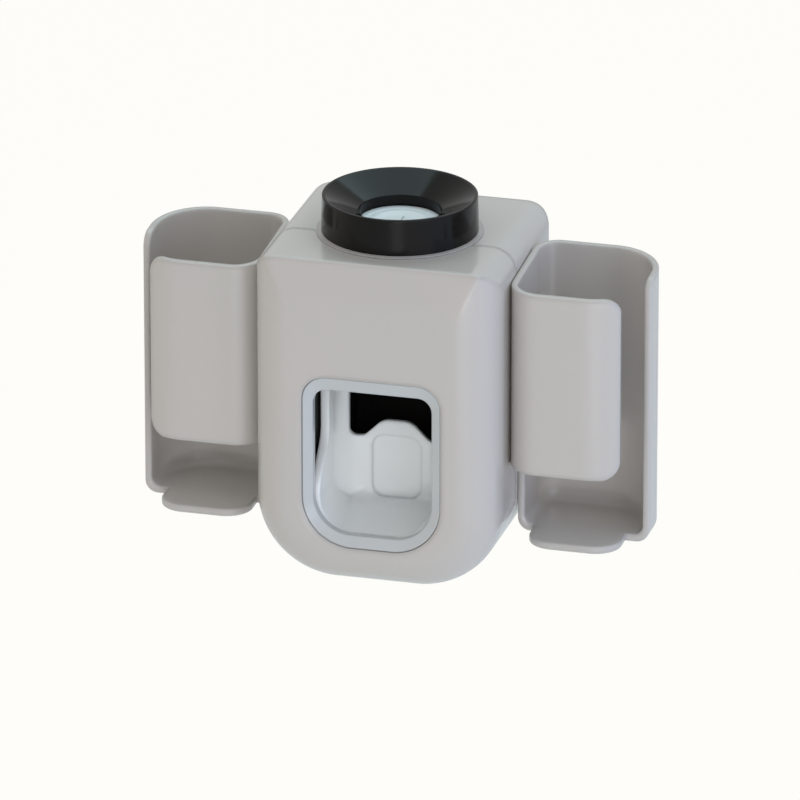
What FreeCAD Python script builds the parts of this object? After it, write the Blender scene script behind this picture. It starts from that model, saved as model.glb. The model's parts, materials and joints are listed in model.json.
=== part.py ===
import FreeCAD, Part
import math
import os

# Wall mounted toothpaste dispenser with a push lever in a window, a tube funnel on top and two
# toothbrush holders at its sides. Millimetres, +Z up, the user stands at -Y and the wall is at +Y.
# The origin is the centre of the adhesive face on the wall. Depths are counted from the casing's
# back face towards the user, heights from the level where the chin, its rounded bottom, begins.

# General
overrun = 5.0
slip = 0.2
face_gap = 0.1
pin_gap = 0.05
sharp_angle = 40.0
sharp_length = 0.5

# Casing, shared by the rear housing and the front cover
body_width = 68.2
body_height = 91.0
chin = 2.0
body_depth = 59.4
crown_rise = 2.2
crown_zone = 12.5
crown_start = 1.5
side_round = 11.0
top_corner = 7.2
bottom_corner = 23.0
rear_corner = 4.0
casing_wall = 2.2
front_wall = 2.8
parting_depth = 37.0
parting_gap = 0.35
lip_wall = 1.2
lip_reach = 2.5
crease_round = 0.4
casing_edge = 0.2

# Window and its bevelled frame
window_width = 33.0
window_low = 13.0
window_high = 54.4
window_top_corner = 4.0
window_bottom_corner = 10.5
bevel_side = 2.8
bevel_top = 4.0
bevel_bottom = 3.3
bevel_sink = 0.35
bevel_fall = 1.3
bevel_depth = 3.6
bevel_seat = 1.3
bevel_groove = 0.15

# Wall plate, adhesive pad and the dovetail between plate and housing
pad_thickness = 1.0
pad_width = 32.0
pad_height = 56.0
plate_width = 36.0
plate_height = 60.0
plate_thickness = 3.0
plate_flare = 2.0
plate_corner = 3.0
recess_wall = 2.0

# Funnel, collar and seal
neck_depth = 31.5
collar_radius = 22.6
collar_thickness = 0.4
collar_round = 0.25
neck_radius = 16.0
neck_wall = 2.5
neck_drop = 4.8
spigot_radius = 10.6
spigot_bore = 8.0
spigot_wall = 1.4
spigot_rise = 1.6
nut_radius = 19.0
nut_thickness = 2.4
nut_notch_radius = 1.6
nut_notch_count = 8
ring_base_radius = 21.25
ring_top_radius = 21.0
ring_height = 10.0
ring_bore = 11.2
ring_bore_top = 5.4
ring_socket = 11.6
ring_socket_depth = 2.6
ring_mouth_radius = 20.2
ring_rim_round = 0.3
ring_foot_round = 0.2
seal_radius = 11.3
seal_thickness = 0.9
seal_dish_radius = 5.7
seal_dish_depth = 0.5
seal_skin = 0.7
seal_groove_radius = 8.3
seal_groove_width = 0.8
seal_groove_depth = 0.25
slit_length = 8.0
slit_width = 0.3

# Inner frame that carries the pump and the lever
frame_play = 2.5
frame_half = window_width / 2 + frame_play
frame_wall = 2.0
frame_low = 6.0
frame_reach = 55.5
frame_back = 2.0
flange_gap = 1.0
frame_flange_half = body_width / 2 - casing_wall - flange_gap
frame_flange_low = 12.0
frame_flange_high = 56.0
frame_flange_corner = 8.0
frame_corner = 3.0
bridge_front = 50.0
bridge_rear = 15.0
bridge_drop = 6.8
bridge_top = body_height - bridge_drop
bridge_thickness = 2.2
frame_side_rear_height = 60.0
screw_place_side = (frame_half + frame_wall + body_width / 2 - casing_wall) / 2
screw_place_low = 20.0
screw_place_high = 49.0
boss_radius = 3.4
frame_screw_radius = 1.25
frame_screw_head_radius = 2.3
frame_screw_head = 1.8
frame_screw_length = 5.0
driver_slot_width = 0.7
driver_slot_depth = 0.8

# Pump
pump_half_width = 11.0
pump_rear = 20.5
pump_front = 45.5
inlet_cup = 3.0
inlet_floor = bridge_top - bridge_thickness - inlet_cup
throat_drop = 8.5
chamber_height = inlet_floor - throat_drop
pump_foot = 10.0
pump_bottom = chamber_height - pump_foot
chamber_radius = 6.6
chamber_front = 34.0
gallery_radius = 3.4
gallery_front = 43.0
inlet_radius = 6.6
inlet_throat = 3.2
outlet_depth = 40.5
outlet_radius = 2.6
pump_edge = 1.0
pump_screw_side = 8.6
pump_screw_spread = 8.2
pump_screw_radius = 1.1
pump_screw_head_radius = 2.1
pump_screw_head = 1.5
pump_screw_length = 7.0
valve_radius = 6.4
valve_thickness = 1.0
valve_flap_radius = 4.2
valve_slit = 0.4
nozzle_flange_radius = 5.4
nozzle_flange = 1.4
nozzle_radius = 4.2
nozzle_length = 9.0
nozzle_tip_radius = 3.2
nozzle_tip_length = 2.2
nozzle_bore = 2.9
duckbill_radius = 2.8
duckbill_bore = 1.8
duckbill_length = 5.4
duckbill_collar = 1.6
duckbill_lip = 0.5
bellows_rear = 10.6
bellows_radius = 8.6
bellows_root = 6.4
bellows_wall = 0.7
bellows_folds = 3
bellows_rim = 1.0
cap_radius = 9.4
cap_thickness = 1.5
cap_boss_radius = 3.0
cap_boss = 1.6
spring_radius = 4.9
spring_wire = 0.35
spring_turns = 6
spring_end_gap = 0.5

# Push lever
pivot_depth = 32.0
pivot_rise = 3.1
pivot_height = window_high + pivot_rise
pin_radius = 1.5
pin_reach = 2.2
pin_half_length = frame_half + frame_wall + pin_reach
clip_radius = 2.9
clip_thickness = 0.7
clip_place = frame_half + frame_wall + pin_gap + clip_thickness / 2
clip_mouth = 2.2
groove_fall = 0.35
lever_play = 1.0
lever_half = frame_half - lever_play
lever_wall = 2.4
paddle_depth = 35.1
paddle_wall = 1.6
scoop_front = 56.6
scoop_floor_rear = 14.2
scoop_floor_front = 12.6
scoop_floor_wall = 1.6
scoop_bottom_corner = 9.4
scoop_rear_corner = 8.0
scoop_heel = 4.6
scoop_back_heel = 3.0
scoop_side_top = 47.0
scoop_side_low = 26.0
scoop_side_high = 36.0
stem_width = 5.2
stem_inner = lever_half - stem_width
notch_height = 32.2
notch_radius = 2.3
hump_height = 37.2
hump_half = 3.9
hump_foot = 9.0
hump_round = 5.0
pocket_width = 13.8
pocket_low = 14.7
pocket_high = 32.8
pocket_corner = 3.6
pocket_sink = 0.8
hub_radius = 3.3
cheek_wall = 2.0
arm_nose_radius = 1.5
arm_fall = 0.5
arm_height = chamber_height - arm_fall
arm_half = 3.2
arm_rear_gap = 0.1
lever_edge = 0.35
lever_soft_height = 30.0

# Holders
holder_width = 36.5
holder_back = 14.0
holder_depth = 37.2
holder_wall = 1.8
holder_floor = 2.0
holder_low = 9.6
holder_rim_back = 86.1
holder_rim_front = 83.6
holder_outer_back_round = 15.0
holder_inner_back_round = 7.0
holder_inner_front_round = 8.5
holder_outer_front_round = 14.8
panel_low = 31.9
panel_edge_inset = 5.4
panel_corner = 4.8
side_wall_depth = 22.2
side_wall_corner = 4.2
holder_foot_corner = 3.6
tongue_inner = 4.7
tongue_outer = 6.4
tongue_reach = 34.0
tongue_corner = 7.2
holder_edge = 0.5
holder_heel = 2.6

# Keyhole hooks between holders and housing
hook_depth = 26.5
hook_low = 30.0
hook_high = 68.0
hook_neck_half = 1.6
hook_head_half = 3.4
hook_height = 4.5
hook_head_thickness = 1.6
hook_travel = 8.0
hook_play = 0.25


def fy(depth):
    """Y of a depth counted from the casing's back face towards the user."""
    return -(pad_thickness + depth)


def hz(height):
    """Z of a height counted from the casing's lowest point."""
    return height - body_height / 2


def vec(x, y, z):
    return FreeCAD.Vector(x, y, z)


def on_xz(y):
    return lambda a, b: vec(a, y, b)


def on_xy(z):
    return lambda a, b: vec(a, b, z)


def on_yz(x):
    return lambda a, b: vec(x, a, b)


def wire(corners, place):
    """Closed wire through (a, b, radius) corners, each rounded by its radius."""
    count = len(corners)
    starts = []
    for i in range(count):
        a, b, r = corners[i]
        before = corners[i - 1]
        after = corners[(i + 1) % count]
        back = FreeCAD.Vector(before[0] - a, before[1] - b, 0).normalize()
        ahead = FreeCAD.Vector(after[0] - a, after[1] - b, 0).normalize()
        here = FreeCAD.Vector(a, b, 0)
        half = back.getAngle(ahead) / 2
        if r == 0:
            starts.append((here, None, here))
            continue
        reach = r / math.tan(half)
        middle = (back + ahead).normalize()
        centre = here + middle * (r / math.sin(half))
        starts.append((here + back * reach, centre - middle * r, here + ahead * reach))
    edges = []
    for i in range(count):
        first, middle, last = starts[i]
        following = starts[(i + 1) % count][0]
        if middle is not None:
            points = [place(p.x, p.y) for p in (first, middle, last)]
            edges.append(Part.Arc(*points).toShape())
        ends = [place(p.x, p.y) for p in (last, following)]
        if ends[0].distanceToPoint(ends[1]) > pin_gap * pin_gap:
            edges.append(Part.makeLine(*ends))
    return Part.Wire(edges)


def prism(corners, place, along):
    return Part.Face(wire(corners, place)).extrude(along)


def box(x, y, z):
    """Box between three pairs of limits."""
    low = vec(min(x), min(y), min(z))
    return Part.makeBox(abs(x[1] - x[0]), abs(y[1] - y[0]), abs(z[1] - z[0]), low)


def upright(x, y, low, high, radius):
    return Part.makeCylinder(radius, high - low, vec(x, y, low), vec(0, 0, 1))


def along_y(x, z, near, far, radius):
    """Cylinder along Y between two depths, near the wall and far from it."""
    return Part.makeCylinder(radius, far - near, vec(x, fy(near), z), vec(0, -1, 0))


def along_x(y, z, low, high, radius):
    return Part.makeCylinder(radius, high - low, vec(low, y, z), vec(1, 0, 0))


def turned(points, centre, axis):
    """Solid of revolution from (radius, travel along the axis) points."""
    rise = FreeCAD.Vector(*axis)
    side = vec(1, 0, 0)
    path = [centre + side * r + rise * t for r, t in points]
    face = Part.Face(Part.makePolygon(path + [path[0]]))
    return face.revolve(centre, rise, 360)


def rounded(shape, edges, radius):
    return shape.makeFillet(radius, edges) if edges else shape


def edges_at(shape, test):
    return [e for e in shape.Edges if test(e.BoundBox)]


def sharp_edges(shape):
    """Convex edges at which two faces meet at more than the angle of a soft corner."""
    found = []
    for edge in shape.Edges:
        faces = shape.ancestorsOfType(edge, Part.Face)
        if len(faces) != 2 or edge.Length < sharp_length:
            continue
        middle = edge.valueAt((edge.FirstParameter + edge.LastParameter) / 2)
        normals = []
        for face in faces:
            u, v = face.Surface.parameter(middle)
            normals.append(face.normalAt(u, v))
        if math.degrees(normals[0].getAngle(normals[1])) < sharp_angle:
            continue
        beside = middle + (normals[0] - normals[1]) * pin_gap
        if not shape.isInside(beside, pin_gap / 5, False):
            found.append(edge)
    return found


def mirrored(shape):
    return shape.mirror(vec(0, 0, 0), vec(1, 0, 0))


def casing_corners(inset):
    """Front view corners of the casing, moved inwards by inset."""
    half = body_width / 2 - inset
    top = hz(body_height - inset)
    low = hz(inset - chin)
    upper = top_corner - inset
    lower = bottom_corner - inset
    return [(-half, low, lower), (half, low, lower), (half, top, upper), (-half, top, upper)]


def casing_block(inset, near, far):
    """Prism of the casing's outline between two depths."""
    return prism(casing_corners(inset), on_xz(fy(near)), vec(0, fy(far) - fy(near), 0))


def soft_block(inset, far, radius):
    """Casing block whose front edge is rounded down the sides and along the bottom."""
    high = hz(body_height + overrun)
    corners = casing_corners(inset)
    open_top = corners[:2] + [(x, high, 0) for x, top, corner in corners[2:]]
    block = prism(open_top, on_xz(fy(0)), vec(0, fy(far) - fy(0), 0))
    front = edges_at(block, lambda k: k.YMax < fy(far) + face_gap and k.ZMin < high - face_gap)
    return rounded(block, front, radius).common(casing_block(inset, 0, far))


def crown_cutter():
    """Prism of the space above the arc that runs from the front face back to the top crease."""
    front = fy(body_depth + crown_rise)
    start = (front, hz(body_height - crown_zone))
    crease = (front + crown_rise, hz(body_height))
    lean = math.atan(crown_rise / crown_zone)
    half_turn = (lean - math.radians(crown_start)) / 2
    bulge = math.tan(half_turn) / 2
    middle_y = (start[0] + crease[0]) / 2 - bulge * crown_zone
    middle_z = (start[1] + crease[1]) / 2 + bulge * crown_rise
    end_slope = math.tan(lean + 2 * half_turn)
    above = (crease[0] + overrun * end_slope, crease[1] + overrun)
    place = on_yz(-body_width / 2 - overrun)
    outline = [crease, above, (front - overrun, above[1]), (front - overrun, start[1]), start]
    edges = [Part.Arc(place(*start), place(middle_y, middle_z), place(*crease)).toShape()]
    edges += [Part.makeLine(place(*a), place(*b)) for a, b in zip(outline, outline[1:])]
    return Part.Face(Part.Wire(edges)).extrude(vec(body_width + 2 * overrun, 0, 0))


def casing_solid():
    """Outer form of the whole casing, before it is split and hollowed."""
    solid = soft_block(0, body_depth + crown_rise, side_round).cut(crown_cutter())
    crease = [e for e in sharp_edges(solid) if e.BoundBox.YMax < fy(parting_depth)]
    solid = rounded(solid, crease, crease_round)
    half = body_width / 2
    ahead = fy(body_depth + overrun)
    plan = [(-half, ahead, 0), (half, ahead, 0), (half, fy(0), rear_corner), (-half, fy(0), rear_corner)]
    low = hz(-chin - overrun)
    return solid.common(prism(plan, on_xy(low), vec(0, 0, hz(body_height + overrun) - low)))


def window_corners(side, top, bottom, low_extra, high_extra):
    """Window outline grown by side, with its height limits grown apart."""
    half = window_width / 2 + side
    low = hz(window_low - low_extra)
    high = hz(window_high + high_extra)
    return [(-half, low, bottom), (half, low, bottom), (half, high, top), (-half, high, top)]


def opening_corners():
    """Inner outline of the window."""
    return window_corners(0, window_top_corner, window_bottom_corner, 0, 0)


def bevel_corners(inset):
    """Outer outline of the window frame, moved inwards by inset."""
    return window_corners(
        bevel_side - inset,
        window_top_corner + bevel_side - inset,
        window_bottom_corner + bevel_bottom - inset,
        bevel_bottom - inset,
        bevel_top - inset,
    )


def window_frame():
    """Bevelled ring set into the cover round the window."""
    front = fy(body_depth + crown_rise - bevel_sink)
    throat = front + bevel_fall
    back = front + bevel_depth
    ring = prism(bevel_corners(bevel_groove), on_xz(front), vec(0, bevel_depth, 0))
    outer = wire(bevel_corners(bevel_groove), on_xz(front))
    inner = wire(opening_corners(), on_xz(throat))
    slope = Part.makeLoft([outer, inner], True, True)
    hole = prism(opening_corners(), on_xz(front - overrun), vec(0, bevel_depth + 2 * overrun, 0))
    ring = ring.cut(slope).cut(hole)
    seat = prism(bevel_corners(bevel_seat + bevel_groove), on_xz(back), vec(0, -bevel_depth / 2, 0))
    skin = prism(bevel_corners(-overrun), on_xz(back), vec(0, -bevel_depth / 2, 0))
    ring = ring.cut(skin.cut(seat))
    return rounded(ring, sharp_edges(ring), casing_edge)


def casing_half(near, far):
    """One solid half of the casing between two depths, its parting edges softened."""
    half = casing_solid().common(casing_block(-overrun, near, far))
    seam = edges_at(half, lambda k: abs((k.YMin + k.YMax) / 2 - fy(parting_depth)) < parting_gap)
    return rounded(half, seam, casing_edge)


def front_cover():
    """Front half of the casing with the window's seat and the notch for the neck."""
    inner_far = body_depth + crown_rise - front_wall
    shell = casing_half(parting_depth + parting_gap / 2, 2 * body_depth)
    shell = shell.cut(soft_block(casing_wall, inner_far, side_round - casing_wall))
    front = fy(body_depth + crown_rise)
    seat = prism(bevel_corners(0), on_xz(front - overrun), vec(0, overrun + bevel_depth / 2 + bevel_sink, 0))
    through = prism(bevel_corners(bevel_seat), on_xz(front - overrun), vec(0, 3 * overrun, 0))
    shell = shell.cut(seat).cut(through)
    rim = edges_at(shell, lambda k: k.YMax < front + face_gap and k.XLength < window_width + 2 * bevel_side)
    shell = rounded(shell, rim, casing_edge)
    centre = fy(neck_depth)
    notch = upright(0, centre, hz(body_height) - overrun, hz(body_height) + overrun, neck_radius + slip)
    return shell.cut(notch)


def dovetail(clearance, low, high):
    """Dovetail section of the wall plate, grown by clearance, between two heights."""
    back = plate_width / 2 + clearance
    front = back + plate_flare
    near = fy(0)
    far = fy(plate_thickness + clearance)
    corners = [(-back, near, 0), (back, near, 0), (front, far, 0), (-front, far, 0)]
    return prism(corners, on_xy(hz(low)), vec(0, 0, high - low))


def plate_span():
    """Lowest and highest height of the wall plate."""
    return body_height / 2 - plate_height / 2, body_height / 2 + plate_height / 2


def wall_plate():
    low, high = plate_span()
    plate = dovetail(0, low, high)
    upright_edges = [e for e in plate.Edges if abs(e.BoundBox.YLength - plate_thickness) < slip]
    return rounded(plate, [e for e in upright_edges if e.BoundBox.ZLength < slip], plate_corner)


def adhesive_pad():
    half = pad_width / 2
    low = -pad_height / 2
    corners = [
        (-half, low, plate_corner),
        (half, low, plate_corner),
        (half, -low, plate_corner),
        (-half, -low, plate_corner),
    ]
    return prism(corners, on_xz(0), vec(0, -pad_thickness, 0))


def keyhole(side, height):
    """Keyhole slot through the housing's side wall for one hook of a holder."""
    middle = fy(hook_depth)
    inside = side * (body_width / 2 - casing_wall - overrun)
    outside = side * (body_width / 2 + overrun)
    low = hz(height) - hook_height / 2 - face_gap
    top = low + hook_height + hook_travel + 2 * face_gap
    narrow = hook_neck_half + hook_play
    wide = hook_head_half + hook_play
    slot = box((inside, outside), (middle - narrow, middle + narrow), (low, top))
    mouth_low = top - hook_height - 2 * hook_play
    mouth = box((inside, outside), (middle - wide, middle + wide), (mouth_low, top + hook_play))
    return slot.fuse(mouth)


def screw_places():
    return [(x, h) for x in (-screw_place_side, screw_place_side) for h in (screw_place_low, screw_place_high)]


def frame_seat():
    """Depth of the face that the inner frame stands on."""
    return plate_thickness + slip + recess_wall


def rear_housing():
    """Rear half of the casing, with the dovetail recess, keyholes, lip and screw bosses."""
    shell = casing_half(-overrun, parting_depth - parting_gap / 2)
    shell = shell.cut(casing_block(casing_wall, casing_wall, 2 * body_depth))
    low, high = plate_span()
    bump_half = plate_width / 2 + plate_flare + slip + recess_wall
    bump_top = hz(high + slip + recess_wall)
    bump = box((-bump_half, bump_half), (fy(0), fy(frame_seat())), (hz(-chin), bump_top))
    bump = bump.common(casing_block(0, rear_corner / 2, body_depth))
    shell = shell.fuse(bump)
    for x, h in screw_places():
        shell = shell.fuse(along_y(x, hz(h), casing_wall / 2, frame_seat(), boss_radius))
    inner = casing_wall + face_gap
    lip_low = parting_depth - lip_reach
    lip_high = parting_depth + lip_reach
    lip = casing_block(inner, parting_depth, lip_high)
    lip = lip.fuse(casing_block(casing_wall - face_gap, lip_low, parting_depth))
    lip = lip.cut(casing_block(casing_wall + lip_wall, 0, body_depth))
    nut_clear = nut_radius + slip
    centre = fy(neck_depth)
    lip = lip.cut(upright(0, centre, hz(body_height) - neck_radius, hz(body_height), nut_clear))
    shell = shell.fuse(lip)
    shell = shell.cut(dovetail(slip, -overrun, high + slip))
    hole = upright(0, centre, hz(body_height) - overrun, hz(body_height) + overrun, neck_radius + slip)
    shell = shell.cut(hole)
    for x, h in screw_places():
        shell = shell.cut(along_y(x, hz(h), casing_wall, frame_seat() + overrun, frame_screw_radius))
    for side in (-1, 1):
        for height in (hook_low, hook_high):
            shell = shell.cut(keyhole(side, height))
    return shell.removeSplitter()


def collar():
    """Ring on the casing's top with a neck that goes through it and a spigot for the seal."""
    centre = vec(0, fy(neck_depth), 0)
    base = hz(body_height) + face_gap
    top = base + collar_thickness
    flange = upright(0, centre.y, base, top, collar_radius)
    flange = rounded(flange, edges_at(flange, lambda k: k.ZMin > top - face_gap / 2), collar_round)
    neck_low = hz(body_height) - neck_drop
    neck = upright(0, centre.y, neck_low, base, neck_radius)
    neck = neck.cut(upright(0, centre.y, neck_low, base - face_gap, neck_radius - neck_wall))
    floor = hz(bridge_top) + face_gap
    spigot = upright(0, centre.y, neck_low, top + spigot_rise, spigot_radius)
    tail = upright(0, centre.y, floor, base, spigot_bore + spigot_wall)
    body = flange.fuse(neck).fuse(spigot).fuse(tail)
    return body.cut(upright(0, centre.y, floor - overrun, top + 2 * overrun, spigot_bore)).removeSplitter()


def collar_nut():
    """Notched nut that clamps the collar to the housing's top from inside."""
    centre = fy(neck_depth)
    top = hz(body_height - casing_wall) - face_gap
    low = top - nut_thickness
    nut = upright(0, centre, low, top, nut_radius)
    nut = nut.cut(upright(0, centre, low, top, neck_radius + pin_gap))
    for i in range(nut_notch_count):
        turn = 2 * math.pi * i / nut_notch_count
        x = nut_radius * math.cos(turn)
        y = centre + nut_radius * math.sin(turn)
        nut = nut.cut(upright(x, y, low, top, nut_notch_radius))
    return nut


def funnel_base():
    """Z of the collar's upper face, on which the funnel ring rests."""
    return hz(body_height) + face_gap + collar_thickness


def funnel_ring():
    """Black tube funnel: conical mouth, short straight bore and a socket round the seal."""
    centre = vec(0, fy(neck_depth), funnel_base())
    points = [
        (ring_socket, 0),
        (ring_base_radius, 0),
        (ring_top_radius, ring_height),
        (ring_mouth_radius, ring_height),
        (ring_bore, ring_bore_top),
        (ring_bore, ring_socket_depth),
        (ring_socket, ring_socket_depth),
    ]
    ring = turned(points, centre, (0, 0, 1))
    top = funnel_base() + ring_height
    rim = edges_at(ring, lambda k: k.ZMin > top - face_gap and k.ZMax < top + face_gap)
    outer = [e for e in rim if e.BoundBox.XLength > 2 * ring_mouth_radius + slip]
    inner = [e for e in rim if e.BoundBox.XLength < 2 * ring_mouth_radius + slip]
    ring = rounded(ring, outer, ring_rim_round)
    ring = rounded(ring, edges_at(ring, lambda k: is_circle(k, inner[0].BoundBox)), ring_foot_round)
    return ring


def is_circle(found, wanted):
    """True where two level circles have one height and one width."""
    same_height = abs(found.ZMin - wanted.ZMin) < face_gap and found.ZLength < face_gap
    return same_height and abs(found.XLength - wanted.XLength) < face_gap


def tube_seal():
    """Silicone slit seal capped over the collar's spigot."""
    base = funnel_base() + spigot_rise
    centre = vec(0, fy(neck_depth), base)
    top = seal_thickness
    inner = spigot_bore - slip
    groove = seal_groove_radius
    dish = seal_dish_depth
    points = [
        (0, top - dish - seal_skin),
        (inner - seal_skin, top - dish - seal_skin),
        (inner, 0),
        (seal_radius, 0),
        (seal_radius, top),
        (groove + seal_groove_width, top),
        (groove + seal_groove_width / 2, top - seal_groove_depth),
        (groove, top),
        (seal_dish_radius + dish, top),
        (seal_dish_radius, top - dish),
        (0, top - dish),
    ]
    seal = turned(points, centre, (0, 0, 1))
    for length, width in ((slit_length, slit_width), (slit_width, slit_length)):
        x = length / 2
        y = width / 2
        slit = box((-x, x), (centre.y - y, centre.y + y), (base - overrun, base + overrun))
        seal = seal.cut(slit)
    return seal


def plate_corners(half, low, high, radius):
    return [(-half, low, radius), (half, low, radius), (half, high, radius), (-half, high, radius)]


def inner_frame():
    """Dark cradle behind the window: back plate, two cheeks and the bridge that holds the pump."""
    seat = frame_seat()
    corners = plate_corners(frame_flange_half, hz(frame_flange_low), hz(frame_flange_high), frame_flange_corner)
    frame = prism(corners, on_xz(fy(seat)), vec(0, -frame_back, 0))
    outer = frame_half + frame_wall
    near = seat + frame_back / 2
    cheek_outline = [
        (fy(near), hz(frame_low), 0),
        (fy(frame_reach), hz(frame_low), frame_corner),
        (fy(frame_reach), hz(window_high + bevel_top), frame_corner),
        (fy(bridge_front), hz(window_high + bevel_top), 0),
        (fy(bridge_front), hz(bridge_top), 0),
        (fy(bridge_rear), hz(bridge_top), 0),
        (fy(bridge_rear), hz(frame_side_rear_height), frame_corner),
        (fy(near), hz(frame_flange_high), 0),
    ]
    for low in (-outer, frame_half):
        frame = frame.fuse(prism(cheek_outline, on_yz(low), vec(frame_wall, 0, 0)))
    bridge_low = hz(bridge_top - bridge_thickness)
    bridge = box((-outer, outer), (fy(bridge_rear), fy(bridge_front)), (bridge_low, hz(bridge_top)))
    frame = frame.fuse(bridge)
    frame = frame.cut(upright(0, fy(neck_depth), bridge_low - overrun, hz(bridge_top) + overrun, spigot_bore))
    for x, y in pump_screw_places():
        frame = frame.cut(upright(x, y, bridge_low - overrun, hz(bridge_top), pump_screw_radius + face_gap))
    for x, h in screw_places():
        hole = along_y(x, hz(h), seat - overrun, seat + overrun, frame_screw_radius + face_gap)
        frame = frame.cut(hole)
    pivot = along_x(fy(pivot_depth), hz(pivot_height), -outer - overrun, outer + overrun, pin_radius)
    return frame.cut(pivot).removeSplitter()


def frame_screws():
    """Four screws that hold the inner frame to the housing's bosses."""
    seat = frame_seat() + frame_back
    solids = []
    for x, h in screw_places():
        z = hz(h)
        shank = along_y(x, z, seat - frame_screw_length, seat, frame_screw_radius)
        head = along_y(x, z, seat, seat + frame_screw_head, frame_screw_head_radius)
        face = fy(seat + frame_screw_head)
        long = frame_screw_head_radius
        thin = driver_slot_width / 2
        deep = (face, face + driver_slot_depth)
        cross = box((x - long / 2, x + long / 2), deep, (z - thin, z + thin))
        cross = cross.fuse(box((x - thin, x + thin), deep, (z - long / 2, z + long / 2)))
        solids.append(shank.fuse(head).cut(cross))
    return Part.makeCompound(solids)


def pump_screw_places():
    middle = fy(neck_depth)
    sides = (-pump_screw_side, pump_screw_side)
    return [(x, middle + y) for x in sides for y in (-pump_screw_spread, pump_screw_spread)]


def pump_screws():
    """Four screws through the bridge into the pump body."""
    seat = hz(bridge_top)
    solids = []
    for x, y in pump_screw_places():
        shank = upright(x, y, seat - pump_screw_length, seat, pump_screw_radius)
        head = upright(x, y, seat, seat + pump_screw_head, pump_screw_head_radius)
        top = (seat + pump_screw_head - driver_slot_depth, seat + pump_screw_head)
        long = pump_screw_head_radius / 2
        thin = driver_slot_width / 2
        cross = box((x - long, x + long), (y - thin, y + thin), top)
        cross = cross.fuse(box((x - thin, x + thin), (y - long, y + long), top))
        solids.append(shank.fuse(head).cut(cross))
    return Part.makeCompound(solids)


def pump_body():
    """Block with the inlet cup, the chamber behind it and the outlet gallery."""
    top = hz(bridge_top - bridge_thickness)
    z = hz(chamber_height)
    half = pump_half_width
    block = box((-half, half), (fy(pump_rear), fy(pump_front)), (hz(pump_bottom), top))
    upright_edges = [e for e in block.Edges if e.BoundBox.ZLength > pump_edge]
    block = rounded(block, upright_edges, pump_edge)
    block = block.cut(along_y(0, z, pump_rear, chamber_front, chamber_radius))
    block = block.cut(along_y(0, z, pump_rear, gallery_front, gallery_radius))
    middle = fy(neck_depth)
    block = block.cut(upright(0, middle, hz(inlet_floor), top, inlet_radius))
    block = block.cut(upright(0, middle, z, top, inlet_throat))
    outlet = upright(0, fy(outlet_depth), hz(pump_bottom), z, outlet_radius)
    block = block.cut(outlet)
    for x, y in pump_screw_places():
        block = block.cut(upright(x, y, top - pump_screw_length, top, pump_screw_radius))
    return block


def inlet_valve():
    """Silicone flap valve on the floor of the inlet cup."""
    middle = fy(neck_depth)
    low = hz(inlet_floor)
    disc = upright(0, middle, low, low + valve_thickness, valve_radius)
    flap = upright(0, middle, low, low + valve_thickness, valve_flap_radius)
    ring = flap.cut(upright(0, middle, low, low + valve_thickness, valve_flap_radius - valve_slit))
    hinge = box((-valve_radius, valve_radius), (middle, middle + valve_radius), (low, low + valve_thickness))
    return disc.cut(ring.cut(hinge))


def outlet_nozzle():
    """White nozzle under the pump body, above the place of the brush head."""
    top = hz(pump_bottom)
    centre = vec(0, fy(outlet_depth), top)
    points = [
        (nozzle_bore, 0),
        (nozzle_flange_radius, 0),
        (nozzle_flange_radius, -nozzle_flange),
        (nozzle_radius, -nozzle_flange),
        (nozzle_radius, -nozzle_length + nozzle_tip_length),
        (nozzle_tip_radius, -nozzle_length),
        (nozzle_bore - duckbill_lip, -nozzle_length),
        (nozzle_bore - duckbill_lip, -nozzle_length + nozzle_tip_length),
        (nozzle_bore, -nozzle_length + nozzle_tip_length),
    ]
    return turned(points, centre, (0, 0, 1))


def outlet_valve():
    """Duckbill valve inside the nozzle: a round collar that closes to a flat lip."""
    top = hz(pump_bottom) - face_gap
    y = fy(outlet_depth)
    collar_low = top - duckbill_collar
    ring = upright(0, y, collar_low, top, duckbill_radius)
    tip = collar_low - duckbill_length + duckbill_collar
    narrow = duckbill_radius - duckbill_lip
    bill = upright(0, y, tip, collar_low, narrow)
    wedge = [
        (y - narrow, collar_low, 0),
        (y + narrow, collar_low, 0),
        (y + duckbill_lip, tip, 0),
        (y - duckbill_lip, tip, 0),
    ]
    bill = bill.common(prism(wedge, on_yz(-narrow), vec(2 * narrow, 0, 0)))
    bore = upright(0, y, collar_low, top, duckbill_bore)
    taper = Part.makeCone(duckbill_lip / 2, duckbill_bore, collar_low - tip, vec(0, y, tip), vec(0, 0, 1))
    return ring.fuse(bill).cut(bore).cut(taper)


def bellows():
    """Silicone bellows between the pump body's rear face and the push cap."""
    start = fy(pump_rear)
    length = pump_rear - bellows_rear
    centre = vec(0, start, hz(chamber_height))
    fold = (length - 2 * bellows_rim) / bellows_folds
    outer = [(bellows_root + bellows_wall, 0), (bellows_root + bellows_wall, bellows_rim)]
    for i in range(bellows_folds):
        travel = bellows_rim + fold * i
        outer.append((bellows_radius, travel + fold / 2))
        outer.append((bellows_root + bellows_wall, travel + fold))
    outer.append((bellows_root + bellows_wall, length))
    inner = [(r - bellows_wall, t) for r, t in reversed(outer)]
    return turned(outer + inner, centre, (0, 1, 0))


def bellows_cap():
    """Push cap on the bellows' rear end, with a boss that centres the spring."""
    z = hz(chamber_height)
    plate = along_y(0, z, bellows_rear - cap_thickness, bellows_rear, cap_radius)
    boss = along_y(0, z, bellows_rear, bellows_rear + cap_boss, cap_boss_radius)
    edges = edges_at(plate, lambda k: k.YMin > fy(bellows_rear) + face_gap)
    return rounded(plate, edges, cap_thickness / 3).fuse(boss)


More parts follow.
